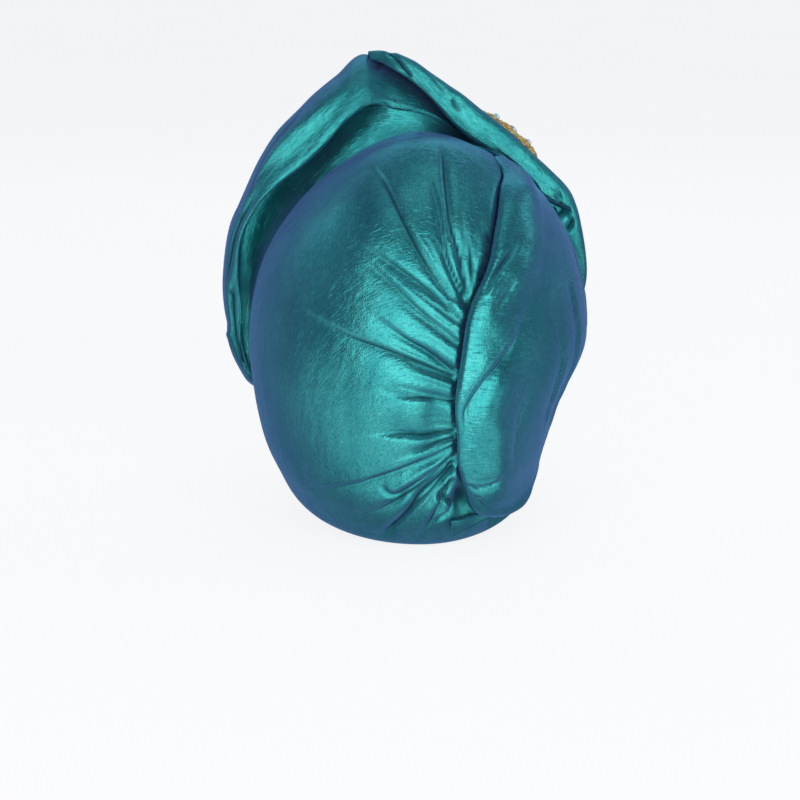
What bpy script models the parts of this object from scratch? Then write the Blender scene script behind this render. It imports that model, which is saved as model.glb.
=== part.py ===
"""Turban cap: a hollow dome of gathered cloth, a wide wrap over its right side, a pleated
drape that stands up round the face, a rolled band along the top right, and two gold brooches.

Tables and lengths are in millimetres; place() turns them into metres. The wearer faces -Y and
the wearer's left is +X. The origin is the middle of the head opening, between the temples.
"""

import math
from collections import namedtuple

import bmesh
import bpy
from mathutils import Vector

METRES = 0.001
CLOTH = 2.0  # the cloth is doubled or tripled everywhere
GAP = 0.4  # air between two pieces that rest on each other
HALO_HEIGHT = 75.0  # height of the axis that the drape and the band are measured round

# The dome, from its top down to its rim. Each row is one tilted ring.
Ring = namedtuple("Ring", "share back_z side_z front_z left right back_y front_y")
DOME = [
    Ring(0.0, 167, 167, 167, 0.0, 0.0, 12, 12),
    Ring(0.1, 164, 157, 163, 29.0, 38.0, 44, -24),
    Ring(0.2, 149, 136, 152, 57.5, 64.0, 66, -54),
    Ring(0.3, 125, 112, 133, 77.0, 80.0, 84, -76),
    Ring(0.4, 92, 87, 108, 88.0, 88.5, 95, -89),
    Ring(0.5, 57, 57, 86, 92.5, 91.0, 100, -94),
    Ring(0.6, 23, 31, 68, 90.5, 79.0, 100, -96),
    Ring(0.7, -8, 9, 54, 86.0, 71.0, 95, -96),
    Ring(0.8, -28, -5, 43, 79.5, 67.0, 86, -93),
    Ring(0.9, -41, -12, 35, 75.5, 64.5, 76, -88),
    Ring(1.0, -44, -14, 33, 70.5, 60.5, 69, -80),
]

# Gathers in the dome: three points of each crease as degrees round and share down.
Crease = namedtuple("Crease", "turn_a share_a turn_b share_b turn_c share_c depth width")
GATHERS = [
    Crease(29, 0.165, 7, 0.287, -9, 0.402, 4.0, 7),
    Crease(-7, 0.249, -9, 0.342, -15, 0.411, 3.0, 5),
    Crease(-14, 0.132, -11, 0.250, -16, 0.411, 5.0, 6),
    Crease(-26, 0.272, -25, 0.317, -21, 0.374, 3.0, 5),
    Crease(27, 0.300, 7, 0.380, -12, 0.464, 3.0, 6),
    Crease(40, 0.424, 12, 0.474, -11, 0.516, 4.0, 7),
    Crease(12, 0.534, 0, 0.544, -12, 0.554, 4.0, 7),
    Crease(14, 0.608, -2, 0.606, -13, 0.601, 4.0, 6),
    Crease(22, 0.693, 2, 0.651, -14, 0.623, 4.0, 7),
    Crease(15, 0.888, 0, 0.713, -14, 0.656, 6.0, 8),
    Crease(-7, 0.803, -13, 0.751, -10, 0.700, 4.0, 5),
    Crease(-20, 0.713, -18, 0.745, -20, 0.772, 8.0, 8),
]

DEEPEST_GATHER = 9.0

# The rolled left edge of the wrap, as degrees round the dome at each share down.
Edge = namedtuple("Edge", "share turn")
WRAP_EDGE = [
    Edge(0.115, -68), Edge(0.135, -59), Edge(0.17, -50), Edge(0.21, -39), Edge(0.28, -30),
    Edge(0.36, -23), Edge(0.42, -16), Edge(0.49, -13), Edge(0.55, -12), Edge(0.61, -14),
    Edge(0.65, -15), Edge(0.71, -20), Edge(0.77, -25), Edge(0.80, -34),
]
WRAP_FRONT_Y = -30.0  # how far forward the wrap goes, under the band
WRAP_LAST_TURN = -158.0
WRAP_SEAT = 3.0  # how far the dome lies below its full form under the wrap

# The wrap from its turned-under hem, round its rolled edge and on to the front.
Bend = namedtuple("Bend", "share along height")
WRAP_BENDS = [
    Bend(0.00, 15.0, 1.5), Bend(0.08, 9.0, 1.6), Bend(0.14, 4.0, 1.8), Bend(0.19, 1.2, 2.8),
    Bend(0.24, 0.0, 4.8), Bend(0.29, 1.4, 7.0), Bend(0.36, 5.0, 8.2), Bend(0.44, 11.0, 8.0),
    Bend(0.53, 20.0, 6.2), Bend(0.62, 32.0, 4.0), Bend(0.72, 48.0, 2.6), Bend(0.82, 70.0, 2.0),
    Bend(1.00, 110.0, 1.8),
]

# The drape's back, measured round the halo axis: 0 degrees is up and + is the wearer's left.
Halo = namedtuple("Halo", "angle tuck_r tuck_y roll_r roll_y face_r face_y ridge_r ridge_y")
DRAPE = [
    Halo(-126, 84.4, -38, 87.0, -40, 88.0, -41, 89.0, -43),
    Halo(-118, 82.9, -38, 87.0, -40, 90.5, -41, 93.5, -43),
    Halo(-108, 81.9, -38, 86.0, -41, 89.0, -44, 92.5, -47),
    Halo(-95, 84.9, -38, 87.0, -42, 87.5, -47, 88.0, -54),
    Halo(-80, 83.4, -38, 86.0, -42, 86.5, -47, 88.0, -54),
    Halo(-65, 82.9, -38, 85.0, -42, 86.5, -47, 90.0, -54),
    Halo(-50, 83.4, -38, 85.5, -42, 87.0, -47, 91.0, -54),
    Halo(-35, 83.9, -38, 86.0, -42, 88.0, -47, 91.5, -54),
    Halo(-21, 84.9, -38, 87.5, -42, 90.0, -47, 95.0, -54),
    Halo(-14, 86.9, -33, 90.5, -38, 94.0, -44, 99.0, -52),
    Halo(-8, 89.4, -26, 94.5, -32, 99.0, -40, 105.0, -50),
    Halo(-2, 90.4, -20, 99.0, -28, 105.0, -37, 112.5, -49),
    Halo(4, 90.4, -18, 101.0, -27, 111.0, -36, 121.0, -48),
    Halo(9, 89.9, -18, 101.0, -25, 114.0, -35, 126.5, -46),
    Halo(14, 88.4, -18, 101.0, -24, 117.0, -33, 132.5, -45),
    Halo(21, 87.4, -18, 99.0, -24, 114.0, -33, 126.0, -45),
    Halo(32, 85.4, -18, 95.0, -23, 109.0, -34, 121.0, -45),
    Halo(42, 84.4, -18, 95.0, -23, 107.0, -34, 118.5, -45),
    Halo(51, 84.4, -18, 97.0, -24, 107.0, -34, 115.5, -45),
    Halo(61, 86.4, -18, 99.0, -25, 107.0, -34, 113.0, -45),
    Halo(73, 87.4, -18, 102.0, -25, 109.0, -35, 112.5, -45),
    Halo(84, 89.4, -18, 103.0, -25, 109.0, -35, 111.5, -45),
    Halo(94, 92.4, -18, 102.0, -25, 108.0, -34, 111.0, -45),
    Halo(105, 95.4, -18, 101.0, -25, 107.0, -34, 111.0, -45),
    Halo(116, 99.4, -18, 103.0, -24, 107.0, -33, 111.0, -45),
    Halo(120, 101.9, -19, 104.5, -24, 107.0, -33, 109.5, -45),
    Halo(124, 103.9, -22, 105.5, -27, 105.5, -35, 104.5, -46),
]
DRAPE_LEFT, DRAPE_RIGHT = 124.0, -126.0
OVER_RIDGE = [(-1.5, -10.0), (-9.0, -25.0)]  # from the ridge forward: outward, backward

# The drape's front, down to the rim: how far down the dome it is at the middle and at the
# sides, and how far it stands off the dome.
Front = namedtuple("Front", "share_middle share_side stand_middle stand_side")
DRAPE_FRONT = [
    Front(0.35, 0.80, 21.0, 9.0),
    Front(0.62, 0.85, 16.0, 7.5),
    Front(0.84, 0.91, 9.0, 5.5),
    Front(0.97, 0.97, 4.0, 3.5),
]
FRONT_TURN_SHARE = 0.45  # degrees round the dome for one degree round the halo

# Long folds in the drape: two ends as degrees and steps from the tuck (0) to the ridge (3).
Fold = namedtuple("Fold", "angle_a step_a angle_b step_b depth width")
DRAPE_FOLDS = [
    Fold(110, 0.55, 20, 0.55, 3.5, 5),
    Fold(35, 2.6, 62, 2.45, 2.5, 4),
    Fold(45, 1.3, 74, 1.75, 3.0, 4),
    Fold(78, 2.0, 108, 2.3, 2.0, 4),
    Fold(20, 1.7, 40, 1.6, 2.5, 4),
    Fold(60, 5.3, -60, 5.6, 3.0, 6),
    Fold(80, 6.0, -40, 6.4, 3.0, 6),
    Fold(40, 7.0, -80, 6.6, 3.0, 6),
]

# The rolled band: its back edge, its outer ridge and how round it is at each angle.
Roll = namedtuple("Roll", "angle back_r back_y ridge_r ridge_y puff")
BAND = [
    Roll(-98, 92.5, -34, 94.5, -50, 0.6),
    Roll(-88, 92.5, -32, 95.5, -50, 0.6),
    Roll(-75, 92.5, -30, 97.5, -50, 0.7),
    Roll(-62, 92.5, -27, 98.5, -50, 0.8),
    Roll(-56, 90.5, -24, 98.5, -50, 1.0),
    Roll(-47, 90.0, -23, 97.0, -50, 1.0),
    Roll(-39, 90.5, -23, 97.0, -50, 1.0),
    Roll(-30, 91.0, -23, 98.5, -50, 1.0),
    Roll(-21, 92.0, -22, 101.5, -50, 1.0),
    Roll(-17, 93.0, -22, 104.5, -50, 1.0),
    Roll(-12, 96.0, -22, 108.0, -50, 1.0),
    Roll(-8, 100.5, -22, 111.0, -50, 1.0),
    Roll(-2, 112.0, -22, 119.0, -50, 1.0),
    Roll(1, 117.0, -23, 124.5, -50, 0.9),
    Roll(5, 123.0, -24, 129.5, -50, 0.8),
    Roll(9, 126.0, -27, 132.5, -48, 0.6),
    Roll(11, 128.0, -30, 133.0, -46, 0.5),
]
BAND_START, BAND_END = 8.0, -98.0

# The band's section: along from its back edge to its ridge, and outward from that line.
Lap = namedtuple("Lap", "share along outward")
BAND_BACK = [Lap(0.00, 0.14, -3.6), Lap(0.10, -0.02, -1.5), Lap(0.20, 0.02, 2.0), Lap(0.34, 0.25, 4.6),
             Lap(0.50, 0.60, 4.6), Lap(0.62, 1.00, 0.6)]
# The rest of the section, from the ridge on: outward and backward.
BAND_FRONT = [Lap(0.62, 0.6, 0.0), Lap(0.76, -1.0, -9.0), Lap(0.90, -5.0, -18.0), Lap(1.00, -9.0, -24.0)]

FLAP_TURNS = (-9.0, -33.0)
FLAP_SHARES = (0.812, 0.925)
FLAP_LIFT = 0.2  # outside of the flap above the dome's full form

# Brooches: where each one lies, its half length and half width, and how far it is turned.
BROOCH_THICK = 2.4
BROOCH_LOBES = 14
STONE_TALL = 3.0
Stone = namedtuple("Stone", "along across radius")
STONES = [Stone(0.0, 0.0, 4.2), Stone(-11.5, 0.5, 3.0), Stone(11.5, 0.5, 3.0)]

TEAL = (0.010, 0.150, 0.185, 1.0)
GOLD = (0.80, 0.52, 0.18, 1.0)
CRYSTAL = (0.72, 0.86, 0.90, 1.0)


def at(table, where):
    """The row of a table at a place between its rows, by a smooth curve. Column 0 is the place."""
    last = len(table) - 1
    where = min(max(where, table[0][0]), table[last][0])
    i = 0
    while i < last - 1 and table[i + 1][0] < where:
        i += 1
    a, b = table[i], table[i + 1]
    before, after = table[max(i - 1, 0)], table[min(i + 2, last)]
    span = b[0] - a[0]
    f = (where - a[0]) / span
    row = []
    for k in range(1, len(a)):
        leave = (b[k] - before[k]) / (b[0] - before[0]) * span
        arrive = (after[k] - a[k]) / (after[0] - a[0]) * span
        bend = 3 * (b[k] - a[k]) - 2 * leave - arrive
        row.append(a[k] + f * (leave + f * (bend + f * (leave + arrive - 2 * (b[k] - a[k])))))
    return row


def eased(low, high, x):
    """0 below low, 1 above high, and smooth between."""
    f = min(max((x - low) / (high - low), 0.0), 1.0)
    return f * f * (3 - 2 * f)


def across_points(points, share):
    """A point on the smooth curve through evenly spaced points."""
    table = [(i, *point) for i, point in enumerate(points)]
    return Vector(at(table, share * (len(points) - 1)))


def distance_to_line(point, line):
    """The distance from a point to a chain of straight pieces."""
    least = math.inf
    for a, b in zip(line, line[1:]):
        side = b - a
        f = min(max((point - a).dot(side) / side.length_squared, 0.0), 1.0)
        least = min(least, (point - a - f * side).length)
    return least


def dome(turn, share):
    """A point of the dome's full form: degrees round from the middle of the back, share down."""
    back_z, side_z, front_z, left, right, back_y, front_y = at(DOME, share)
    c, s = math.cos(math.radians(turn)), math.sin(math.radians(turn))
    x = (left if s > 0 else right) * s
    y = (back_y + front_y) / 2 + (back_y - front_y) / 2 * c
    z = side_z + (back_z - front_z) / 2 * c + ((back_z + front_z) / 2 - side_z) * c * c
    return Vector((x, y, z))


def dome_normal(turn, share):
    """The direction straight out of the dome."""
    low, high = max(share - 0.01, 0.002), min(share + 0.01, 1.0)
    middle = (low + high) / 2
    round_it = dome(turn + 0.5, middle) - dome(turn - 0.5, middle)
    return round_it.cross(dome(turn, high) - dome(turn, low)).normalized()


def polar(angle, radius, y):
    """A point measured round the halo axis."""
    a = math.radians(angle)
    return Vector((radius * math.sin(a), y, HALO_HEIGHT + radius * math.cos(a)))


def ring_radius(share):
    """The dome's radius on its right, used to turn a length along it into degrees."""
    return max(at(DOME, share)[4], 20.0)


def wrap_edge_turn(share):
    return at(WRAP_EDGE, share)[0]


def wrap_front_turn(share):
    """Where the wrap ends under the band, as degrees round the dome."""
    back_y, front_y = at(DOME, share)[5:]
    c = (WRAP_FRONT_Y - (back_y + front_y) / 2) / ((back_y - front_y) / 2)
    return max(-math.degrees(math.acos(max(c, -1.0))), WRAP_LAST_TURN)


def past_wrap_edge(turn, share):
    """Millimetres from the wrap's rolled edge towards the front; less than 0 outside the wrap."""
    return math.radians(wrap_edge_turn(share) - turn) * ring_radius(share)


GATHER_LINES = [
    ([dome(*p) for p in ((g.turn_a, g.share_a), (g.turn_b, g.share_b), (g.turn_c, g.share_c))], g)
    for g in GATHERS
]


def crown_place(turn, share):
    """The crown's outside: the dome, less its gathers and the seat of the wrap."""
    point = dome(turn, share)
    under_wrap = eased(-13.0, -2.0, past_wrap_edge(turn, share)) * eased(0.05, 0.115, share)
    if turn < WRAP_LAST_TURN:
        under_wrap *= 1 - eased(-WRAP_LAST_TURN, 178, -turn)
    sunk = WRAP_SEAT * under_wrap * (1 - eased(0.84, 0.93, share))
    for line, gather in GATHER_LINES:
        away = distance_to_line(point, line) / gather.width
        if away < 2.5:
            sunk += gather.depth * math.exp(-2 * away * away) * (1 - 0.8 * under_wrap)
    sunk = min(sunk, DEEPEST_GATHER) * (1 - eased(0.88, 0.97, share))
    return point - sunk * dome_normal(turn, share)


def side_wrap_place(u, v):
    """The middle of the wrap's cloth; u runs from its hem round the rolled edge to the front."""
    share = 0.118 + (0.800 - 0.118) * v
    edge = wrap_edge_turn(share)
    length = math.radians(edge - wrap_front_turn(share)) * ring_radius(share)
    along, height = at(WRAP_BENDS, u)
    scale = min(length / 70.0, 1.0)
    if u > 0.72:
        along = 48.0 * scale + (length - 48.0 * scale) * (u - 0.72) / 0.28
    else:
        along *= scale
    height = 1.5 + (height - 1.5) * (0.35 + 0.65 * scale)
    turn = edge - math.degrees(along / ring_radius(share))
    for line, fold in WRAP_FOLD_LINES:
        away = distance_to_line(dome(turn, share), line) / fold.width
        if away < 2.5:
            height -= eased(0.30, 0.50, u) * min(fold.depth * math.exp(-2 * away * away), height - 1.5)
    return dome(turn, share) + (height - WRAP_SEAT) * dome_normal(turn, share)


WRAP_FOLDS = [
    Crease(-33, 0.324, -26, 0.355, -21, 0.384, 4.0, 5),
    Crease(-30, 0.456, -22, 0.495, -15, 0.554, 4.0, 5),
    Crease(-47, 0.591, -42, 0.635, -37, 0.691, 2.5, 5),
]
WRAP_FOLD_LINES = [
    ([dome(*p) for p in ((f.turn_a, f.share_a), (f.turn_b, f.share_b), (f.turn_c, f.share_c))], f)
    for f in WRAP_FOLDS
]


def drape_line(angle):
    """The points of the drape at one angle, from its tuck over the ridge and down to the rim."""
    tuck_r, tuck_y, roll_r, roll_y, face_r, face_y, ridge_r, ridge_y = at(DRAPE, angle)
    side = min(abs(angle) / 120.0, 1.0)
    points = [
        polar(angle, tuck_r, tuck_y),
        polar(angle, roll_r, roll_y),
        polar(angle, face_r, face_y),
        polar(angle, ridge_r, ridge_y),
    ]
    for outward, backward in OVER_RIDGE:
        points.append(polar(angle, ridge_r + outward, ridge_y + backward * (1 - 0.4 * side)))
    turn = math.copysign(180.0, angle) - FRONT_TURN_SHARE * angle if angle else 180.0
    for front in DRAPE_FRONT:
        share = front.share_middle + (front.share_side - front.share_middle) * side
        stand = front.stand_middle + (front.stand_side - front.stand_middle) * side
        points.append(dome(turn, share) + (stand + CLOTH) * dome_normal(turn, share))
    return points


def drape_depth(angle, step):
    """How far the long folds sink the drape at one place."""
    sunk = 0.0
    for fold in DRAPE_FOLDS:
        span = fold.angle_b - fold.angle_a
        f = min(max((angle - fold.angle_a) / span, 0.0), 1.0)
        end = fold.angle_a + span * f
        across = (step - fold.step_a - (fold.step_b - fold.step_a) * f) * 13.0
        beyond = (angle - end) * 1.6
        away = math.hypot(across, beyond) / fold.width
        sunk += fold.depth * math.exp(-2 * away * away)
    return min(sunk, 5.0)


def drape_place(u, v):
    """The outside of the drape; u runs from the wearer's left to the right, v from tuck to rim."""
    angle = DRAPE_LEFT + (DRAPE_RIGHT - DRAPE_LEFT) * u
    points = drape_line(angle)
    last = len(points) - 1
    point = across_points(points, v)
    tangent = across_points(points, min(v + 0.01, 1.0)) - across_points(points, max(v - 0.01, 0.0))
    beside = drape_line(angle - 1.0), drape_line(angle + 1.0)
    round_it = across_points(beside[0], v) - across_points(beside[1], v)
    normal = round_it.cross(tangent).normalized()
    return point - drape_depth(angle, v * last) * normal


def band_place(angle, share):
    """The outside of the band; share runs from its turned-in back edge over the ridge."""
    back_r, back_y, ridge_r, ridge_y, puff = at(BAND, angle)
    if share <= BAND_FRONT[0].share:
        along, outward = at(BAND_BACK, share)
        side = Vector((ridge_r - back_r, ridge_y - back_y))
        out = Vector((-side.y, side.x)).normalized()
        spot = Vector((back_r, back_y)) + along * side + outward * (0.4 + 0.6 * puff) * out
    else:
        outward, backward = at(BAND_FRONT, share)
        spot = Vector((ridge_r + outward, ridge_y + backward * (0.5 + 0.5 * puff)))
    return polar(angle, spot.x, spot.y)


def band_normal(angle, share):
    round_it = band_place(angle - 0.5, share) - band_place(angle + 0.5, share)
    over = band_place(angle, min(share + 0.01, 1.0)) - band_place(angle, max(share - 0.01, 0.0))
    return round_it.cross(over).normalized()


def flap_place(u, v):
    """The outside of the small flap of hem below the hole."""
    turn = FLAP_TURNS[0] + (FLAP_TURNS[1] - FLAP_TURNS[0]) * u
    share = FLAP_SHARES[0] + (FLAP_SHARES[1] - FLAP_SHARES[0]) * v
    lift = FLAP_LIFT + 1.2 * math.sin(math.pi * u)
    return dome(turn, share) + lift * dome_normal(turn, share)


def material(name, color, roughness, metallic):
    made = bpy.data.materials.new(name)
    made.use_nodes = True
    shader = made.node_tree.nodes["Principled BSDF"]
    shader.inputs["Base Color"].default_value = color
    shader.inputs["Roughness"].default_value = roughness
    shader.inputs["Metallic"].default_value = metallic
    return made


def node(name, bm, kind, smooth=True):
    """Makes an object of a mesh that is in millimetres."""
    bmesh.ops.scale(bm, vec=(METRES,) * 3, verts=bm.verts)
    mesh = bpy.data.meshes.new(name)
    bm.to_mesh(mesh)
    bm.free()
    for face in mesh.polygons:
        face.use_smooth = smooth
    obj = bpy.data.objects.new(name, mesh)
    bpy.context.scene.collection.objects.link(obj)
    mesh.materials.append(material(name + "_" + kind[0], *kind[1:]))
    return obj


def cloth_sheet(name, squares, place, offset):
    """A grid put in place by place(u, v) and thickened into one closed piece of cloth."""
    bm = bmesh.new()
    bmesh.ops.create_grid(bm, x_segments=squares[0], y_segments=squares[1], size=0.5)
    for vert in bm.verts:
        vert.co = place(vert.co.x + 0.5, vert.co.y + 0.5)
    bmesh.ops.remove_doubles(bm, verts=bm.verts, dist=0.05)
    obj = node(name, bm, ("cloth", TEAL, 0.42, 0.35))
    thick = obj.modifiers.new("thickness", "SOLIDIFY")
    thick.thickness = CLOTH * METRES
    thick.offset = offset
    return obj


def crown():
    def place(u, v):
        turn = 360.0 * (u - 0.5) - 26.0 * math.sin(2 * math.pi * (u - 0.5))
        share = v + 0.055 * math.sin(2 * math.pi * v)
        return crown_place(turn, share)

    return cloth_sheet("crown", (46, 26), place, -1.0)


def side_wrap():
    return cloth_sheet("side_wrap", (22, 18), side_wrap_place, 0.0)


def front_drape():
    return cloth_sheet("front_drape", (46, 16), drape_place, -1.0)


def right_band():
    def place(u, v):
        return band_place(BAND_START + (BAND_END - BAND_START) * u, v)

    return cloth_sheet("right_band", (28, 11), place, -1.0)


def nape_flap():
    return cloth_sheet("nape_flap", (6, 5), flap_place, -1.0)


def gold_leaf(name, half_long, half_wide, surface):
    """A thin leaf-shaped plate with a lobed edge, laid on a surface."""
    bm = bmesh.new()
    bmesh.ops.create_cone(
        bm, cap_ends=True, segments=4 * BROOCH_LOBES, radius1=1.0, radius2=0.86, depth=BROOCH_THICK
    )
    for vert in bm.verts:
        round_it = math.atan2(vert.co.y, vert.co.x)
        lobe = 1.0 + 0.05 * math.cos(BROOCH_LOBES * round_it)
        taper = 1.0 - 0.25 * abs(math.cos(round_it)) ** 3
        x, y = vert.co.x * half_long * lobe, vert.co.y * half_wide * lobe * taper
        vert.co = surface(x, y, vert.co.z + BROOCH_THICK / 2)
    return node(name, bm, ("gold", GOLD, 0.25, 1.0), smooth=False)


def cut_stone(name, stone, surface):
    """A round stone with a table and two rings of facets, just clear of its plate."""
    bm = bmesh.new()
    bmesh.ops.create_cone(bm, cap_ends=True, segments=8, radius1=1.0, radius2=0.55, depth=1.0)
    for vert in bm.verts:
        x, y, z = vert.co
        up = BROOCH_THICK + GAP + (z + 0.5) * STONE_TALL
        vert.co = surface(stone.along + stone.radius * x, stone.across + stone.radius * y, up)
    return node(name, bm, ("crystal", CRYSTAL, 0.05, 0.0), smooth=False)


def frame_on(point, along, out, lift):
    """A flat frame on a surface: gives the place of x along it, y across it and z out of it."""
    across = out.cross(along).normalized()

    def surface(x, y, z):
        return point + x * along + y * across + (z + lift) * out

    return surface


def upper_surface():
    """The front slope of the band, near its top right."""
    angle, share = -31.0, 0.77
    along = (band_place(angle - 6, share) - band_place(angle + 6, share)).normalized()
    return frame_on(band_place(angle, share), along, band_normal(angle, share), 0.3)


def lower_surface():
    """The lower right of the drape."""
    u, v = (DRAPE_LEFT + 117.0) / (DRAPE_LEFT - DRAPE_RIGHT), 3.6 / 9
    along = (drape_place(u + 0.02, v) - drape_place(u - 0.02, v)).normalized()
    over = drape_place(u, v + 0.03) - drape_place(u, v - 0.03)
    return frame_on(drape_place(u, v), along, along.cross(over).normalized(), -0.1)


def brooch(name, half_long, half_wide, surface):
    gold_leaf(name, half_long, half_wide, surface)
    for number, stone in enumerate(STONES):
        scale = half_long / 20.0
        smaller = Stone(stone.along * scale, stone.across * scale, stone.radius * scale)
        cut_stone(f"{name}_stone_{number + 1}", smaller, surface)


def clear_scene():
    for obj in list(bpy.data.objects):
        bpy.data.objects.remove(obj)


def main():
    clear_scene()
    crown()
    side_wrap()
    front_drape()
    right_band()
    nape_flap()
    brooch("brooch_upper", 20.0, 9.0, upper_surface())
    brooch("brooch_lower", 11.0, 5.5, lower_surface())


main()
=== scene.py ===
import math
from collections import namedtuple

import bmesh
import bpy
import numpy as np
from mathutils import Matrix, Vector


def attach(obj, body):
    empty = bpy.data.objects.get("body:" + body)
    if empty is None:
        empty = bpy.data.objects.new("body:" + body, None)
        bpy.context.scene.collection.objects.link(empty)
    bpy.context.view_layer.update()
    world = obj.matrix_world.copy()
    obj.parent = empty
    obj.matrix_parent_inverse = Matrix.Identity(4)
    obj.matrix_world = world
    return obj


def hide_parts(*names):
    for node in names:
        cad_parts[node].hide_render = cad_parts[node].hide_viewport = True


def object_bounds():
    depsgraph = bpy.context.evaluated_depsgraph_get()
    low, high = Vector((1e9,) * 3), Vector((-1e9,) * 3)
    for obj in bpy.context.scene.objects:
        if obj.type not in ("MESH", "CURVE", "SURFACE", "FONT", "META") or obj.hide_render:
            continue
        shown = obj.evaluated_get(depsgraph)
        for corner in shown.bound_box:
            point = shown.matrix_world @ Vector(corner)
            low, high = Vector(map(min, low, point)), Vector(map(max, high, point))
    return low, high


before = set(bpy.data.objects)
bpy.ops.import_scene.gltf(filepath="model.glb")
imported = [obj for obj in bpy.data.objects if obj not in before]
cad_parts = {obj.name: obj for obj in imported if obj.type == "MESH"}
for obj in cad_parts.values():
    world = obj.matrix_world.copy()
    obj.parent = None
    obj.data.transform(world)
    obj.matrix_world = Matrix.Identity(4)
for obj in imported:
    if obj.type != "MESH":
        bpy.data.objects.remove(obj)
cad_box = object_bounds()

# Lengths are in millimetres, and angles in degrees, unless a comment says otherwise.
METRES = 0.001  # in a millimetre
CLOTH = 1.6  # thickness
HALO_HEIGHT = 75.0  # of the axis that the halo is measured round
SEED = 7

# the dome that everything sits on
Ring = namedtuple("Ring", "share back_z side_z front_z left right back_y front_y")
DOME = [
    Ring(0.0, 167, 167, 167, 0.0, 0.0, 12, 12),
    Ring(0.1, 164, 157, 163, 29.0, 38.0, 44, -24),
    Ring(0.2, 149, 136, 152, 57.5, 64.0, 66, -54),
    Ring(0.3, 125, 112, 133, 77.0, 80.0, 84, -76),
    Ring(0.4, 92, 87, 108, 88.0, 88.5, 95, -89),
    Ring(0.5, 57, 57, 86, 92.5, 91.0, 100, -94),
    Ring(0.6, 23, 31, 68, 90.5, 79.0, 100, -96),
    Ring(0.7, -8, 9, 54, 86.0, 71.0, 95, -96),
    Ring(0.8, -28, -5, 43, 79.5, 67.0, 86, -93),
    Ring(0.9, -41, -12, 35, 75.5, 64.5, 76, -88),
    Ring(1.0, -44, -14, 33, 70.5, 60.5, 69, -80),
]
DOME_LENGTH = 250.0  # from the apex down the back to the rim


def at(table, where):
    """Rows of a table at places between its rows, by a smooth curve. Column 0 is the place."""
    rows = np.array(table, float)
    where = np.clip(np.asarray(where, float), rows[0, 0], rows[-1, 0])
    i = np.clip(np.searchsorted(rows[:, 0], where) - 1, 0, len(rows) - 2)
    a, b = rows[i], rows[i + 1]
    before, after = rows[np.maximum(i - 1, 0)], rows[np.minimum(i + 2, len(rows) - 1)]
    span = b[:, :1] - a[:, :1]
    f = (where[:, None] - a[:, :1]) / span
    leave = (b - before) / (b[:, :1] - before[:, :1]) * span
    arrive = (after - a) / (after[:, :1] - a[:, :1]) * span
    bend = 3 * (b - a) - 2 * leave - arrive
    return (a + f * (leave + f * (bend + f * (leave + arrive - 2 * (b - a)))))[:, 1:].T


def eased(low, high, x):
    """0 below low, 1 above high, and smooth between."""
    f = np.clip((x - low) / (high - low), 0.0, 1.0)
    return f * f * (3 - 2 * f)


def unit(vectors):
    """The same directions, each of length 1."""
    return vectors / np.maximum(np.linalg.norm(vectors, axis=1, keepdims=True), 1e-9)


def dome(turn, share):
    """Points of the dome: degrees round from the middle of the back, share down from the apex."""
    turn = np.atleast_1d(np.asarray(turn, float))
    share = np.atleast_1d(np.asarray(share, float))
    turn, share = np.broadcast_arrays(turn, share)
    back_z, side_z, front_z, left, right, back_y, front_y = at(DOME, share)
    c, s = np.cos(np.radians(turn)), np.sin(np.radians(turn))
    x = np.where(s > 0, left, right) * s
    y = (back_y + front_y) / 2 + (back_y - front_y) / 2 * c
    z = side_z + (back_z - front_z) / 2 * c + ((back_z + front_z) / 2 - side_z) * c * c
    return np.stack([x, y, z], axis=1)


def dome_normal(turn, share):
    """Which way is outwards at points of the dome."""
    share = np.asarray(share, float)
    low, high = np.maximum(share - 0.01, 0.002), np.minimum(share + 0.01, 1.0)
    middle = (low + high) / 2
    round_it = dome(turn + 0.5, middle) - dome(turn - 0.5, middle)
    return unit(np.cross(round_it, dome(turn, high) - dome(turn, low)))


def polar(angle, radius, y):
    """Points measured round the halo axis."""
    a = np.radians(angle)
    return np.stack([radius * np.sin(a), y + 0 * a, HALO_HEIGHT + radius * np.cos(a)], axis=1)


def side_of_line(points, normals, line):
    """Distance to a chain of points, + on its left hand as seen from outside, and how far along it is."""
    lengths = np.linalg.norm(np.diff(line, axis=0), axis=1)
    total, done = lengths.sum(), 0.0
    best = np.full(len(points), 1e9)
    signed, along = best.copy(), best.copy()
    for a, b, length in zip(line, line[1:], lengths):
        side = b - a
        f = np.clip((points - a) @ side / (side @ side), 0.0, 1.0)
        gap = points - a - f[:, None] * side
        distance = np.linalg.norm(gap, axis=1)
        sign = np.sign(np.einsum("ij,ij->i", np.cross(normals, side[None]), points - a))
        nearer = distance < best
        best = np.where(nearer, distance, best)
        signed = np.where(nearer, distance * np.where(sign == 0, 1, sign), signed)
        along = np.where(nearer, (done + f * length) / total, along)
        done += length
    return signed, along


def smooth_line(points, step=5):
    """A smooth chain through a few points in space."""
    points = np.asarray(points, float)
    if len(points) == 2:
        return points
    table = np.column_stack([np.arange(len(points)), points])
    return at(table, np.linspace(0, len(points) - 1, (len(points) - 1) * step + 1)).T


# creases and folds
# A crease: its path, how deep it is, how wide each side is, the height of the fold beside it,
# where along it the crease starts and is fully deep, and where it starts to end and has ended.
# One that names no end stays open to the last point of its path.
STAYS_OPEN = (2.0, 3.0)
Crease = namedtuple("Crease", "path depth upper lower lip opens closes", defaults=[STAYS_OPEN])
SHADE_LINE_WIDTH = 0.9  # of the line of painted shade at the bottom of a crease
ROUNDING = 0.5  # of the bottom itself


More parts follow.
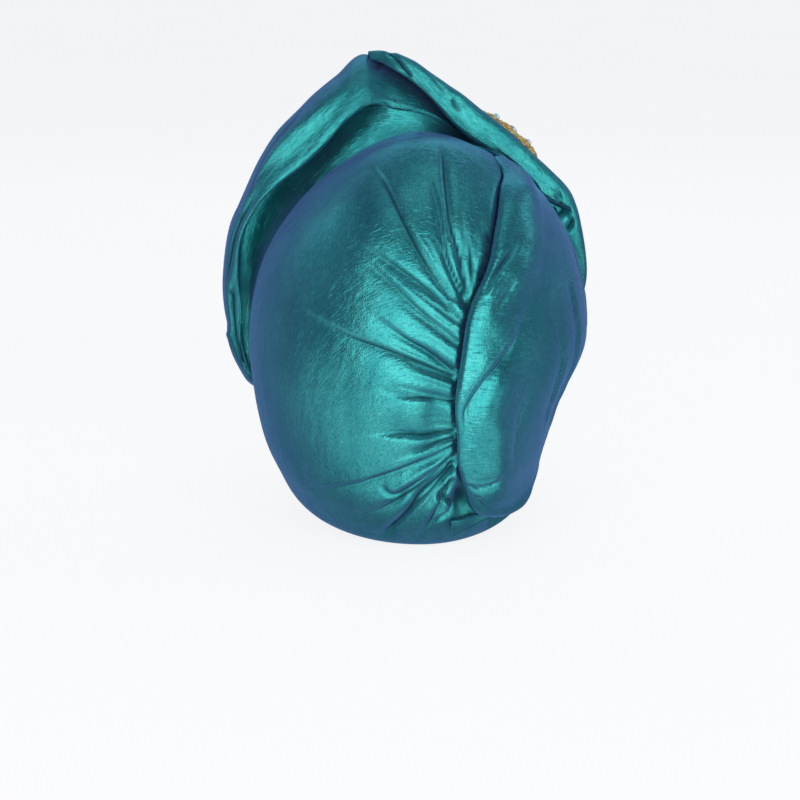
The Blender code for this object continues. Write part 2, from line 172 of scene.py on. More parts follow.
def sunk_by(crease, line, points, normals):
    """How far one crease sinks each point, less than 0 where its lip raises it, and the painted shade along
    its bottom.
    """
    signed, along = side_of_line(points, normals, line)
    wide = np.where(signed > 0, crease.upper, crease.lower)
    away = np.maximum(np.sqrt(signed * signed + ROUNDING * ROUNDING) - ROUNDING, 0)
    opened = eased(*crease.opens, along) * (1 - eased(*crease.closes, along))
    valley = crease.depth * np.exp(-away / wide)
    hump = crease.lip * np.exp(-(((signed - 1.5 * crease.upper) / (1.1 * crease.upper)) ** 2))
    # painted shade: the bottom of the crease is darkened where shade falls
    painted_shade = opened * min(crease.depth / 2.0, 1.0) * np.exp(-((signed / SHADE_LINE_WIDTH) ** 2))
    return opened * (valley - hump), painted_shade


def all_sunk(creases, lines, points, normals):
    """What a set of creases does together."""
    sunk, painted_shade = np.zeros(len(points)), np.zeros(len(points))
    for crease, line in zip(creases, lines):
        more, more_painted_shade = sunk_by(crease, line, points, normals)
        sunk, painted_shade = sunk + more, np.maximum(painted_shade, more_painted_shade)
    return sunk, painted_shade


CROWN_CREASES = [
    Crease([(33, .140), (29, .165), (15, .227), (7, .287), (0, .342), (-9, .402)],
           2.4, 0.8, 6.0, 0.5, (0.0, 0.25)),
    Crease([(-4, .19), (-7, .249), (-9, .342), (-14, .392), (-15, .411)], 1.8, 0.8, 2.2, 0.4, (0.0, 0.4)),
    Crease([(-17, .060), (-14, .132), (-11, .207), (-11, .289), (-14, .347), (-16, .411)],
           2.4, 3.0, 0.9, 0.6, (0.0, 0.3)),
    Crease([(-16, .272), (-17, .332), (-18, .392)], 2.0, 1.0, 0.9, 0.6, (0.0, 0.5)),
    Crease([(-26, .255), (-25, .317), (-21, .374)], 2.0, 0.9, 1.4, 0.6, (0.0, 0.5)),
    Crease([(42, .265), (29, .304), (13, .344), (-3, .392), (-16, .446)], 1.9, 0.9, 4.5, 0.3, (0.1, 0.6)),
    Crease([(38, .30), (25, .328), (13, .369), (0, .420), (-12, .464)], 1.5, 0.8, 4.0, 0.2, (0.0, 0.6)),
    Crease([(52, .400), (40, .424), (29, .446), (22, .459), (12, .474), (0, .496), (-11, .516)],
           2.2, 0.8, 5.0, 0.4, (0.0, 0.6)),
    Crease([(17, .420), (6, .456), (-2, .476), (-11, .506)], 4.6, 0.9, 5.5, 0.8, (0.0, 0.6)),
    Crease([(16, .528), (6, .544), (0, .546), (-12, .554)], 2.6, 5.0, 0.8, 0.6, (0.0, 0.7)),
    Crease([(20, .606), (7, .603), (-2, .606), (-13, .601)], 4.4, 6.5, 0.9, 0.8, (0.0, 0.6)),
    Crease([(10, .648), (-4, .622), (-13, .612)], 2.6, 2.6, 0.9, 0.6, (0.0, 0.5)),
    Crease([(48, .740), (26, .702), (14, .676), (2, .651), (-14, .623)], 3.2, 0.9, 5.0, 0.8, (0.0, 0.6)),
    Crease([(10, .676), (13, .700), (9, .716), (2, .690), (-14, .643)], 3.6, 2.0, 1.0, 1.4, (0.0, 0.3)),
    Crease([(17, .897), (10, .82), (4, .761), (0, .713), (-7, .686), (-14, .656)],
           4.8, 3.0, 1.1, 1.6, (0.0, 0.25)),
    Crease([(6, .780), (1, .738), (-9, .686), (-14, .663)], 2.8, 1.8, 0.9, 0.8, (0.0, 0.5)),
    Crease([(-6, .812), (-9, .785), (-14, .765), (-13, .740), (-8, .722), (-11, .700)],
           3.4, 1.3, 1.3, 1.2, (0.0, 0.3)),
    Crease([(2, .88), (-4, .80), (-8, .745), (-13, .69)], 2.2, 1.6, 1.2, 0.8, (0.0, 0.5)),
    Crease([(-5, .165), (-5, .22), (-8, .30)], 1.0, 1.2, 2.8, 0.2, (0.0, 0.6)),
    Crease([(30, .830), (22, .79), (12, .745), (2, .70), (-12, .650)], 2.0, 2.4, 1.6, 0.6, (0.0, 0.6)),
]
FINE_GATHERS = 3  # between each two creases that meet the wrap's edge
WIDEST_GATHERED = 0.09  # between two such creases, as a share of the dome
DEEPEST_CREASE = 11.0
Hollow = namedtuple("Hollow", "turn share along across depth")
HOLLOWS = [Hollow(-18.5, 0.735, 9.0, 5.0, 10.0), Hollow(-6, 0.580, 11.0, 7.5, 5.0)]
# The crown's grid is denser at the middle of the back, where the gathers are, and half way down.
CROWN_TURN_WARP = 46.0
CROWN_SHARE_WARP = 0.055

Edge = namedtuple("Edge", "share turn")
WRAP_EDGE = [
    Edge(0.115, -68), Edge(0.135, -59), Edge(0.17, -50), Edge(0.21, -39), Edge(0.28, -30),
    Edge(0.36, -23), Edge(0.42, -16), Edge(0.49, -13), Edge(0.55, -12), Edge(0.61, -14),
    Edge(0.65, -15), Edge(0.71, -20), Edge(0.77, -25), Edge(0.80, -34),
]
WRAP_TOP, WRAP_BOTTOM = 0.118, 0.800  # shares of the dome
WRAP_FRONT_Y = -30.0
WRAP_LAST_TURN = -158.0
WRAP_SEAT = 3.0  # how deep the wrap lies in the crown
WRAP_WARP = 0.06  # makes its grid denser over the roll
ROLL_STARTS, ROLL_SHOWS, ROLL_SPAN = 0.27, 0.36, 0.5  # shares of the wrap's section
# The wrap's section: how far from its rolled edge, and how high over its seat. As far as BENDS_END,
# which lies BENDS_REACH from the edge, it shrinks only where the wrap is shorter than BENDS_LENGTH.
BENDS_END, BENDS_REACH, BENDS_LENGTH = 0.72, 48.0, 70.0
Bend = namedtuple("Bend", "share along height")
WRAP_BENDS = [
    Bend(0.00, 15.0, 1.5), Bend(0.08, 9.0, 1.6), Bend(0.14, 4.0, 1.8), Bend(0.19, 1.2, 2.8),
    Bend(0.24, 0.0, 4.8), Bend(0.29, 1.2, 7.2), Bend(0.36, 5.0, 8.8), Bend(0.44, 11.0, 9.6),
    Bend(0.52, 17.5, 9.4), Bend(0.59, 25.0, 7.4), Bend(0.65, 34.0, 4.6), Bend(0.72, 48.0, 2.8),
    Bend(0.82, 70.0, 2.0), Bend(1.00, 110.0, 1.8),
]
WRAP_CREASES = [
    Crease([(-36, .305), (-33, .324), (-24, .367), (-20, .390)], 3.2, 1.6, 1.2, 1.0, (0.0, 0.5)),
    Crease([(-38, .395), (-31, .456), (-27, .480), (-20, .515), (-15, .555), (-12, .590)],
           4.2, 6.5, 1.6, 0.6, (0.0, 0.5)),
    Crease([(-32, .372), (-27, .398), (-22, .425)], 1.6, 1.6, 1.0, 0.6, (0.0, 0.5), (0.7, 1.0)),
    Crease([(-15, .684), (-22, .690), (-28, .686), (-31, .668)], 3.0, 1.0, 1.6, 1.2, (0.0, 0.1), (0.6, 1.0)),
    Crease([(-18, .700), (-24, .725), (-28, .760)], 1.8, 1.2, 2.0, 0.6, (0.0, 0.3), (0.6, 1.0)),
    Crease([(-41, .500), (-38, .590), (-37, .640), (-38, .700)], 1.2, 3.0, 3.0, 0.0, (0.0, 0.4), (0.6, 1.0)),
    Crease([(-62, .30), (-66, .45), (-68, .60), (-70, .74)], 1.4, 1.6, 5.0, 1.0, (0.0, 0.3), (0.7, 1.0)),
    Crease([(-80, .28), (-86, .42), (-90, .56)], 1.2, 3.0, 5.0, 0.8, (0.0, 0.3), (0.6, 1.0)),
    Crease([(-51, .404), (-55, .49), (-58, .569), (-60, .66)], 1.4, 1.4, 5.0, 1.0, (0.0, 0.5), (0.7, 1.0)),
]


def wrap_edge_turn(share):
    """Where the wrap's rolled edge is, as degrees round the dome."""
    return at(WRAP_EDGE, share)[0]


def wrap_front_turn(share):
    """Where the wrap ends under the band, as degrees round the dome."""
    back_y, front_y = at(DOME, share)[5:]
    c = (WRAP_FRONT_Y - (back_y + front_y) / 2) / ((back_y - front_y) / 2)
    return np.maximum(-np.degrees(np.arccos(np.maximum(c, -1.0))), WRAP_LAST_TURN)


def ring_radius(share):
    """The dome's half width on the right, kept away from 0 at the apex."""
    return np.maximum(at(DOME, share)[4], 20.0)


def past_wrap_edge(turn, share):
    """Millimetres from the wrap's rolled edge towards the front; less than 0 outside the wrap."""
    return np.radians(wrap_edge_turn(share) - turn) * ring_radius(share)


def on_dome(path):
    """A smooth line over the dome through places given as turn and share."""
    turns, shares = np.array(path, float).T
    return smooth_line(dome(turns, shares))


def fine_gathers(creases, count, draws):
    """Small creases between the large ones, where both end at the wrap's edge."""
    made = []
    ends = sorted(creases, key=lambda crease: crease.path[-1][1])
    for a, b in zip(ends, ends[1:]):
        if b.path[-1][1] - a.path[-1][1] > WIDEST_GATHERED:
            continue
        for k in range(count):
            f = (k + 0.3 + 0.4 * draws.random()) / count
            reach = 0.25 + 0.45 * draws.random()
            path = []
            for s in np.linspace(reach, 1.0, 4):
                p = [np.array(c.path[0]) * (1 - s) + np.array(c.path[-1]) * s for c in (a, b)]
                path.append(tuple(p[0] * (1 - f) + p[1] * f))
            upper, lower = 0.7 + 1.0 * draws.random(2)
            made.append(Crease(path, 0.4 + 0.8 * draws.random(), upper, lower, 0.25, (0.0, 0.6)))
    return made


def crown_relief(turn, share, points, normals):
    """How far the creases and hollows sink the crown, and the painted shade in them."""
    creases = CROWN_CREASES + fine_gathers(CROWN_CREASES, FINE_GATHERS, np.random.default_rng(SEED))
    sunk, painted_shade = all_sunk(creases, [on_dome(crease.path) for crease in creases], points, normals)
    for hollow in HOLLOWS:
        off = points - dome(hollow.turn, hollow.share)
        pit = np.exp(-((off[:, 0] / hollow.across) ** 2 + (off[:, 2] / hollow.along) ** 2))
        # painted shade fills the deeper hollows
        sunk, painted_shade = sunk + hollow.depth * pit, np.maximum(painted_shade, pit * eased(6.0, 9.0, hollow.depth))
    return np.where(sunk > 0, DEEPEST_CREASE * np.tanh(sunk / DEEPEST_CREASE), sunk), painted_shade


def crown_place(u, v):
    """The crown's outside and its cloth's own coordinates."""
    turn = 360.0 * (u - 0.5) - CROWN_TURN_WARP * np.sin(2 * np.pi * (u - 0.5))
    share = v + CROWN_SHARE_WARP * np.sin(2 * np.pi * v)
    points, normals = dome(turn, share), dome_normal(turn, share)
    under_wrap = eased(-3.0, 1.2, past_wrap_edge(turn, share)) * eased(0.05, 0.115, share)
    under_wrap = under_wrap * (1 - eased(-WRAP_LAST_TURN, 178, -turn))
    sunk = (WRAP_SEAT + 1.0) * under_wrap * (1 - eased(0.84, 0.93, share))
    relief, painted_shade = crown_relief(turn, share, points, normals)
    sunk = sunk + relief * (1 - 0.8 * under_wrap) * (1 - eased(0.93, 0.995, share))
    length = DOME_LENGTH * share
    flat = np.stack([length * np.sin(np.radians(turn)), -length * np.cos(np.radians(turn))], axis=1)
    return points - sunk[:, None] * normals, flat, painted_shade


def wrap_place(u, v):
    """The wrap's cloth; u runs from its hem round the rolled edge to the front."""
    share = WRAP_TOP + (WRAP_BOTTOM - WRAP_TOP) * v
    edge = wrap_edge_turn(share)
    length = np.radians(edge - wrap_front_turn(share)) * ring_radius(share)
    u = u + WRAP_WARP * np.sin(2 * np.pi * u)
    along, height = at(WRAP_BENDS, u)
    scale = np.minimum(length / BENDS_LENGTH, 1.0)
    reach = BENDS_REACH * scale
    flatter = reach + (length - reach) * (u - BENDS_END) / (1 - BENDS_END)
    along = np.where(u > BENDS_END, flatter, along * scale)
    height = 1.5 + (height - 1.5) * (0.35 + 0.65 * scale) * (0.15 + 0.85 * eased(0.0, 0.24, v))
    turn = edge - np.degrees(along / ring_radius(share))
    points, normals = dome(turn, share), dome_normal(turn, share)
    sunk, painted_shade = all_sunk(WRAP_CREASES, [on_dome(crease.path) for crease in WRAP_CREASES], points, normals)
    shown = eased(ROLL_STARTS, ROLL_SHOWS, u)
    relief = np.minimum(sunk, height - 0.4) * shown
    swell = 1.2 * np.sin(10 * v + 0.5) + 0.6 * np.sin(27 * v + 9 * u) + 0.3 * np.sin(58 * v - 14 * u)
    puff = swell * np.sin(np.pi * np.clip((u - ROLL_STARTS) / ROLL_SPAN, 0, 1)) ** 2
    flat = np.stack([along, DOME_LENGTH * share], axis=1)
    return points + (height - WRAP_SEAT - relief + puff)[:, None] * normals, flat, painted_shade * shown


# the drape
Halo = namedtuple("Halo", "angle tuck_r tuck_y ridge_r ridge_y")
HALO = [
    Halo(-126, 84.4, -38, 89.0, -43), Halo(-118, 82.9, -38, 93.5, -43), Halo(-108, 81.9, -38, 92.5, -47),
    Halo(-95, 84.9, -38, 88.0, -54), Halo(-80, 83.4, -38, 88.0, -54), Halo(-65, 82.9, -38, 90.0, -54),
    Halo(-50, 83.4, -38, 91.0, -54), Halo(-35, 83.9, -38, 91.5, -54), Halo(-21, 84.9, -38, 95.0, -54),
    Halo(-14, 84.9, -31, 99.0, -52), Halo(-8, 86.9, -22, 105.0, -50), Halo(-2, 87.4, -17, 112.5, -49),
    Halo(4, 87.4, -16, 121.0, -47), Halo(9, 87.2, -16, 127.5, -45), Halo(14, 86.0, -16, 133.0, -41),
    Halo(21, 85.0, -16, 126.5, -37), Halo(32, 83.0, -16, 121.0, -33), Halo(42, 82.0, -16, 118.5, -32),
    Halo(51, 82.4, -16, 115.5, -32), Halo(61, 83.0, -18, 113.0, -32), Halo(73, 85.4, -18, 112.5, -33),
    Halo(84, 87.9, -18, 111.5, -33), Halo(94, 92.4, -18, 111.0, -33), Halo(105, 95.4, -18, 111.0, -34),
    Halo(116, 99.4, -18, 110.5, -36), Halo(120, 101.9, -19, 109.0, -39), Halo(124, 103.9, -22, 104.5, -44),
]
# The drape between its tuck and its ridge: the recessed layer, the lip that hangs over it, the
# belly of the fold and its outer slope.
Wing = namedtuple("Wing", "angle recess_y under_y lip_r lip_y belly_y outer_y")
WING = [
    Wing(-126, -40, -41, 86.5, -41, -42, -42.5), Wing(-108, -41, -42, 86.0, -42, -44, -46),
    Wing(-80, -41, -42, 85.5, -42, -45, -49), Wing(-50, -41, -42, 85.8, -42, -45, -49),
    Wing(-21, -41, -42, 88.0, -42, -46, -50), Wing(-14, -34, -35, 91.0, -36, -41, -47),
    Wing(-8, -25, -26, 95.0, -27, -33, -43), Wing(-2, -19, -21, 99.0, -22, -28, -38),
    Wing(4, -17, -18, 102.0, -19, -25, -35), Wing(9, -17, -19, 104.5, -18, -22, -31),
    Wing(14, -18, -24, 107.5, -15, -16, -25), Wing(21, -19, -29, 104.5, -11, -12, -18),
    Wing(32, -20, -31, 97.0, -8.5, -9.8, -13), Wing(42, -22, -31, 95.5, -8.5, -9.8, -12.5),
    Wing(51, -25, -32, 98.0, -8.5, -9.8, -12.5), Wing(61, -30, -33, 101.0, -9.5, -10.6, -13.5),
    Wing(73, -31, -33, 102.0, -11, -11.8, -15), Wing(84, -27, -27, 99.5, -12, -12.8, -17),
    Wing(94, -20, -20, 98.0, -14, -14, -18), Wing(105, -19, -19, 101.0, -15, -15, -20),
    Wing(116, -19, -20, 103.5, -17, -18, -24), Wing(124, -24, -26, 104.2, -28, -32, -36),
]
DRAPE_LEFT, DRAPE_RIGHT = 124.0, -126.0
RIDGE_FRONT_Y = -46.0
OVER_RIDGE = [(-1.0, -9.0), (-8.0, -25.0)]  # outwards from the ridge, and in y from RIDGE_FRONT_Y
# The drape's front, down to the rim: shares of the dome and how far it stands off, each in the
# middle and at the sides.
Front = namedtuple("Front", "share_middle share_side stand_middle stand_side")
DRAPE_FRONT = [
    Front(0.35, 0.80, 21.0, 9.0),
    Front(0.62, 0.85, 16.0, 7.5),
    Front(0.84, 0.91, 9.0, 5.5),
    Front(0.97, 0.97, 4.0, 3.5),
]
FRONT_TURN_SHARE = 0.45  # turn round the dome for each degree of the halo
RIDGE_STEP = 6  # the ridge's place among the points of one line of the drape
LIP_STEPS = (2.6, 3.2)  # where the creases of the back start and are fully deep
DRAPE_DEEPEST = 6.0
STEP_LENGTH, DEGREE_LENGTH = 18.0, 1.2  # what a step and a degree count for beside a pleat
DRAPE_CLOTH_LENGTHS = (1.9, 22.0)  # of its cloth in a degree and in a step

# Creases on the drape's back, as degrees and radius round the halo axis.
WING_CREASES = [
    Crease([(27, 121), (34, 119.5), (45, 116.5), (56, 113.0), (66, 111.0)], 3.0, 2.0, 2.6, 0.8, (0.0, 0.3)),
    Crease([(40, 107), (44, 107.5), (55, 109.5), (65, 110), (80, 110), (100, 109)],
           3.2, 2.6, 2.8, 1.0, (0.0, 0.3)),
    Crease([(52, 103), (60, 105), (70, 106.5), (84, 106)], 1.8, 2.0, 2.4, 0.6, (0.0, 0.5)),
    Crease([(118, 110), (108, 106), (98, 103.5), (90, 103)], 2.6, 2.2, 2.2, 0.8, (0.0, 0.4)),
    Crease([(118, 106), (108, 102), (100, 99)], 2.0, 2.0, 2.0, 0.5, (0.0, 0.4)),
    Crease([(5, 133), (8, 130), (10, 126)], 2.6, 2.0, 2.4, 0.6, (0.0, 0.2)),
]
# Long pleats over the drape's front: two ends as degrees and steps past the ridge.
Pleat = namedtuple("Pleat", "angle_a step_a angle_b step_b depth width")
FRONT_PLEATS = [
    Pleat(95, 0.8, -70, 1.5, 3.0, 5), Pleat(80, 1.6, -60, 2.0, 3.4, 6), Pleat(100, 2.3, -75, 2.5, 3.2, 6),
    Pleat(75, 3.0, -45, 3.3, 3.2, 6), Pleat(85, 3.7, -80, 3.6, 3.0, 6), Pleat(45, 4.3, -85, 4.2, 3.0, 6),
    Pleat(90, 5.0, -50, 4.8, 2.6, 5), Pleat(60, 5.4, -90, 5.5, 2.2, 5),
]
TO_THE_BACK = np.array([[0.0, 1.0, 0.0]])


def on_halo(path):
    """A smooth line in the halo's plane through places given as angle and radius."""
    angles, radii = np.array(path, float).T
    return smooth_line(polar(angles, radii, 0.0))


def seen_from_behind(points):
    """The points pressed flat into the halo's plane, where its creases are drawn."""
    return np.column_stack([points[:, 0], np.zeros(len(points)), points[:, 2]])


def drape_lines(angle):
    """The drape's points at each angle, from its tuck over the lip and the ridge down to the rim."""
    tuck_r, tuck_y, ridge_r, ridge_y = at(HALO, angle)
    recess_y, under_y, lip_r, lip_y, belly_y, outer_y = at(WING, angle)
    side = np.minimum(np.abs(angle) / 120.0, 1.0)
    room = ridge_r - lip_r
    lines = [
        polar(angle, tuck_r, tuck_y),
        polar(angle, tuck_r + 0.42 * (lip_r - tuck_r), recess_y),
        polar(angle, lip_r + 0.10 * room, under_y),
        polar(angle, lip_r, lip_y),
        polar(angle, lip_r + 0.40 * room, belly_y),
        polar(angle, lip_r + 0.78 * room, outer_y),
        polar(angle, ridge_r, ridge_y),
    ]
    for outward, in_y in OVER_RIDGE:
        lines.append(polar(angle, ridge_r + outward, RIDGE_FRONT_Y + in_y * (1 - 0.4 * side)))
    turn = np.where(angle < 0, -180.0, 180.0) - FRONT_TURN_SHARE * angle
    for front in DRAPE_FRONT:
        share = front.share_middle + (front.share_side - front.share_middle) * side
        stand = front.stand_middle + (front.stand_side - front.stand_middle) * side
        lines.append(dome(turn, share) + (stand + CLOTH)[:, None] * dome_normal(turn, share))
    return np.stack(lines)


def along_lines(lines, share):
    """Points on the smooth curves through the lines' points, at a share of the way along each."""
    last = len(lines) - 1
    where = np.clip(share, 0, 1) * last
    i = np.clip(np.floor(where).astype(int), 0, last - 1)
    f = (where - i)[:, None]
    k = np.arange(lines.shape[1])
    a, b = lines[i, k], lines[i + 1, k]
    before, after = lines[np.maximum(i - 1, 0), k], lines[np.minimum(i + 2, last), k]
    leave = np.where((i > 0)[:, None], (b - before) / 2, b - a)
    arrive = np.where((i < last - 1)[:, None], (after - a) / 2, b - a)
    bend = 3 * (b - a) - 2 * leave - arrive
    return a + f * (leave + f * (bend + f * (leave + arrive - 2 * (b - a))))


def drape_place(u, v):
    """The drape's outside; u runs from the wearer's left to the right, v from its tuck to the rim."""
    angle = DRAPE_LEFT + (DRAPE_RIGHT - DRAPE_LEFT) * u
    v = v ** 1.15
    lines = drape_lines(angle)
    last = len(lines) - 1
    points = along_lines(lines, v)
    tangent = along_lines(lines, v + 0.01) - along_lines(lines, v - 0.01)
    beside = along_lines(drape_lines(angle - 0.7), v) - along_lines(drape_lines(angle + 0.7), v)
    normals = unit(np.cross(beside, tangent))
    steps = v * last
    back = 1 - eased(RIDGE_STEP, RIDGE_STEP + 1.0, steps)
    back = back * eased(*LIP_STEPS, steps)
    drawn = [on_halo(crease.path) for crease in WING_CREASES]
    relief, painted_shade = all_sunk(WING_CREASES, drawn, seen_from_behind(points), TO_THE_BACK)
    relief, painted_shade = back * relief, back * painted_shade
    for pleat in FRONT_PLEATS:
        span = pleat.angle_b - pleat.angle_a
        f = np.clip((angle - pleat.angle_a) / span, 0.0, 1.0)
        wander = 0.10 * np.sin(4 * f + pleat.step_a)
        step = RIDGE_STEP + pleat.step_a + (pleat.step_b - pleat.step_a) * f + wander
        across = (steps - step) * STEP_LENGTH
        beyond = (angle - pleat.angle_a - span * f) * DEGREE_LENGTH
        away = np.hypot(across, beyond) / pleat.width
        relief += pleat.depth * np.exp(-np.abs(away) * 1.4) * eased(0, 0.12, f) * (1 - eased(0.9, 1.0, f))
    relief = np.minimum(relief, DRAPE_DEEPEST)
    flat = np.stack([-angle * DRAPE_CLOTH_LENGTHS[0], steps * DRAPE_CLOTH_LENGTHS[1]], axis=1)
    return points - relief[:, None] * normals, flat, painted_shade


# the band
Roll = namedtuple("Roll", "angle back_r back_y ridge_r ridge_y puff")
BAND = [
    Roll(-98, 86.5, -46, 88.0, -52, -0.5), Roll(-94, 87.0, -41, 89.0, -51, -0.1),
    Roll(-90, 87.5, -36, 90.0, -50, 0.3), Roll(-85, 88.0, -31, 91.0, -50, 0.7),
    Roll(-75, 88.5, -27, 92.3, -50, 1.0), Roll(-68, 86.5, -25, 93.8, -50, 1.1),
    Roll(-62, 83.0, -24, 95.6, -50, 1.2), Roll(-56, 81.8, -23, 96.8, -50, 1.2),
    Roll(-47, 82.8, -22, 95.6, -50, 1.2), Roll(-39, 84.6, -22, 95.5, -50, 1.2),
    Roll(-30, 87.8, -22, 97.8, -50, 1.2),
    Roll(-21, 89.5, -21, 101.5, -50, 1.2), Roll(-17, 91.0, -21, 104.0, -50, 1.2),
    Roll(-12, 95.0, -21, 108.3, -50, 1.1), Roll(-8, 100.0, -21, 111.8, -50, 1.1),
    Roll(-2, 110.0, -22, 119.0, -50, 1.0), Roll(1, 115.0, -23, 123.4, -50, 0.9),
    Roll(5, 121.0, -25, 127.8, -50, 0.7), Roll(9, 127.0, -31, 130.6, -48, 0.4),
    Roll(12, 130.0, -38, 131.2, -46, 0.2),
]
BAND_START, BAND_END = 12.0, -98.0
# The band's section: how far from its back edge to its ridge, then outwards from the ridge, and how
# far back.
Lap = namedtuple("Lap", "share radial outward y")
BAND_LAPS = [
    Lap(0.00, 0.40, 0.0, -12.0), Lap(0.07, 0.06, 0.0, -7.0), Lap(0.13, -0.06, 0.0, -1.5),
    Lap(0.18, 0.0, 0.0, 1.6), Lap(0.28, 0.24, 0.4, 2.6), Lap(0.40, 0.54, 1.4, 2.4),
    Lap(0.52, 0.84, 2.6, 1.6), Lap(0.60, 0.99, 3.2, -0.8), Lap(0.66, 1.04, 2.8, -5.5),
    Lap(0.72, 1.02, 0.6, -13.0), Lap(0.80, 1.0, -2.0, -23.0), Lap(0.90, 1.0, -6.0, -36.0),
    Lap(1.00, 1.0, -10.0, -46.0),
]
BAND_SHOWS, BAND_TURNS_AWAY = (0.12, 0.18), (0.60, 0.68)  # shares of the section with creases
BAND_DEEPEST = 6.0
BAND_CLOTH_LENGTHS = (1.8, 75.0)  # of its cloth in a degree and round its section
Pocket = namedtuple("Pocket", "angle radius along across depth")
BAND_POCKET = Pocket(-59.0, 86.5, 3.2, 4.2, 5.0)
BAND_CREASES = [
    Crease([(7, 134), (6.5, 130), (5, 126), (3, 120)], 2.6, 1.6, 1.4, 1.0, (0.0, 0.1)),
    Crease([(-1, 124), (-4, 118), (-8, 108)], 1.2, 2.0, 2.0, 0.2, (0.0, 0.5), (0.6, 1.0)),
    Crease([(-12, 101), (-11, 105), (-9, 109)], 1.4, 1.2, 1.6, 0.3, (0.0, 0.5), (0.6, 1.0)),
    Crease([(-27, 90.0), (-31, 88.7), (-39, 87.8), (-46, 87.0), (-52, 85.6)],
           3.2, 1.0, 2.0, 0.8, (0.0, 0.3), (0.9, 1.0)),
    Crease([(-50, 85.0), (-54, 87.0), (-58, 90.5), (-60.5, 93.5), (-61.5, 97.0)],
           6.0, 1.5, 5.0, 1.6, (0.0, 0.15), (0.7, 1.0)),
    Crease([(-64, 96), (-66, 91), (-68, 87)], 2.4, 1.6, 2.4, 0.4, (0.0, 0.4), (0.6, 1.0)),
    Crease([(-52, 96.0), (-56, 93.0), (-60, 92.0)], 1.2, 1.6, 1.6, 0.2, (0.0, 0.4), (0.6, 1.0)),
]


def band_points(angle, share):
    """The band before its creases."""
    back_r, back_y, ridge_r, ridge_y, puff = at(BAND, angle)
    radial, outward, back = at(BAND_LAPS, share)
    radius = back_r + radial * (ridge_r - back_r) + outward
    return polar(angle, radius, back_y + back * (0.45 + 0.55 * puff))


def band_place(u, v):
    """The band's outside; v runs from its turned-in back edge over the ridge."""
    angle = BAND_START + (BAND_END - BAND_START) * u
    points = band_points(angle, v)
    round_it = band_points(angle - 0.5, v) - band_points(angle + 0.5, v)
    over = band_points(angle, np.minimum(v + 0.01, 1.0)) - band_points(angle, np.maximum(v - 0.01, 0.0))
    normals = unit(np.cross(round_it, over))
    pressed = seen_from_behind(points)
    lines = [on_halo(crease.path) for crease in BAND_CREASES]
    relief, painted_shade = all_sunk(BAND_CREASES, lines, pressed, TO_THE_BACK)
    off = pressed - polar(np.array([BAND_POCKET.angle]), BAND_POCKET.radius, 0.0)
    pit = np.exp(-((off[:, 0] / BAND_POCKET.across) ** 2 + (off[:, 2] / BAND_POCKET.along) ** 2))
    # painted shade in the pocket
    relief, painted_shade = relief + BAND_POCKET.depth * pit, np.maximum(painted_shade, eased(0.25, 0.8, pit))
    shown = eased(*BAND_SHOWS, v) * (1 - eased(*BAND_TURNS_AWAY, v))
    relief, painted_shade = np.minimum(relief * shown, BAND_DEEPEST), painted_shade * shown
    flat = np.stack([-angle * BAND_CLOTH_LENGTHS[0], v * BAND_CLOTH_LENGTHS[1]], axis=1)
    return points - relief[:, None] * normals, flat, painted_shade


# the flap
FLAP_TURNS = (-13.5, -33.0)
FLAP_TOP, FLAP_TOP_RISE = 0.792, 0.010  # shares of the dome
FLAP_BOTTOM, FLAP_BOTTOM_RISE = 0.842, 0.046
FLAP_CLOTH_LENGTH = 1.25  # of its cloth in a degree


def flap_place(u, v):
    """The flap of hem below the hollow, tapering towards the wrap, with painted shade along its lower edge.
    """
    turn = FLAP_TURNS[0] + (FLAP_TURNS[1] - FLAP_TURNS[0]) * u
    top = FLAP_TOP - FLAP_TOP_RISE * u
    bottom = FLAP_BOTTOM - FLAP_BOTTOM_RISE * u ** 0.8
    share = top + (bottom - top) * v
    lift = 0.5 + 1.8 * v * (1 - 0.5 * u) + 0.3 * np.sin(7 * u + 2 * v)
    points = dome(turn, share) + lift[:, None] * dome_normal(turn, share)
    flat = np.stack([-turn * FLAP_CLOTH_LENGTH, share * DOME_LENGTH], axis=1)
    # painted shade darkens the lower edge
    return points, flat, 0.9 * eased(0.80, 1.0, v)


# materials
class Field:
    """A number that varies over a surface: a node's output that takes part in sums."""

    def __init__(self, shading, socket):
        self.shading, self.socket = shading, socket

    def _with(self, operation, other):
        return self.shading.field("ShaderNodeMath", {"operation": operation}, [self, other])

    def __add__(self, other):
        return self._with("ADD", other)

    __radd__ = __add__

    def __mul__(self, other):
        return self._with("MULTIPLY", other)

    __rmul__ = __mul__


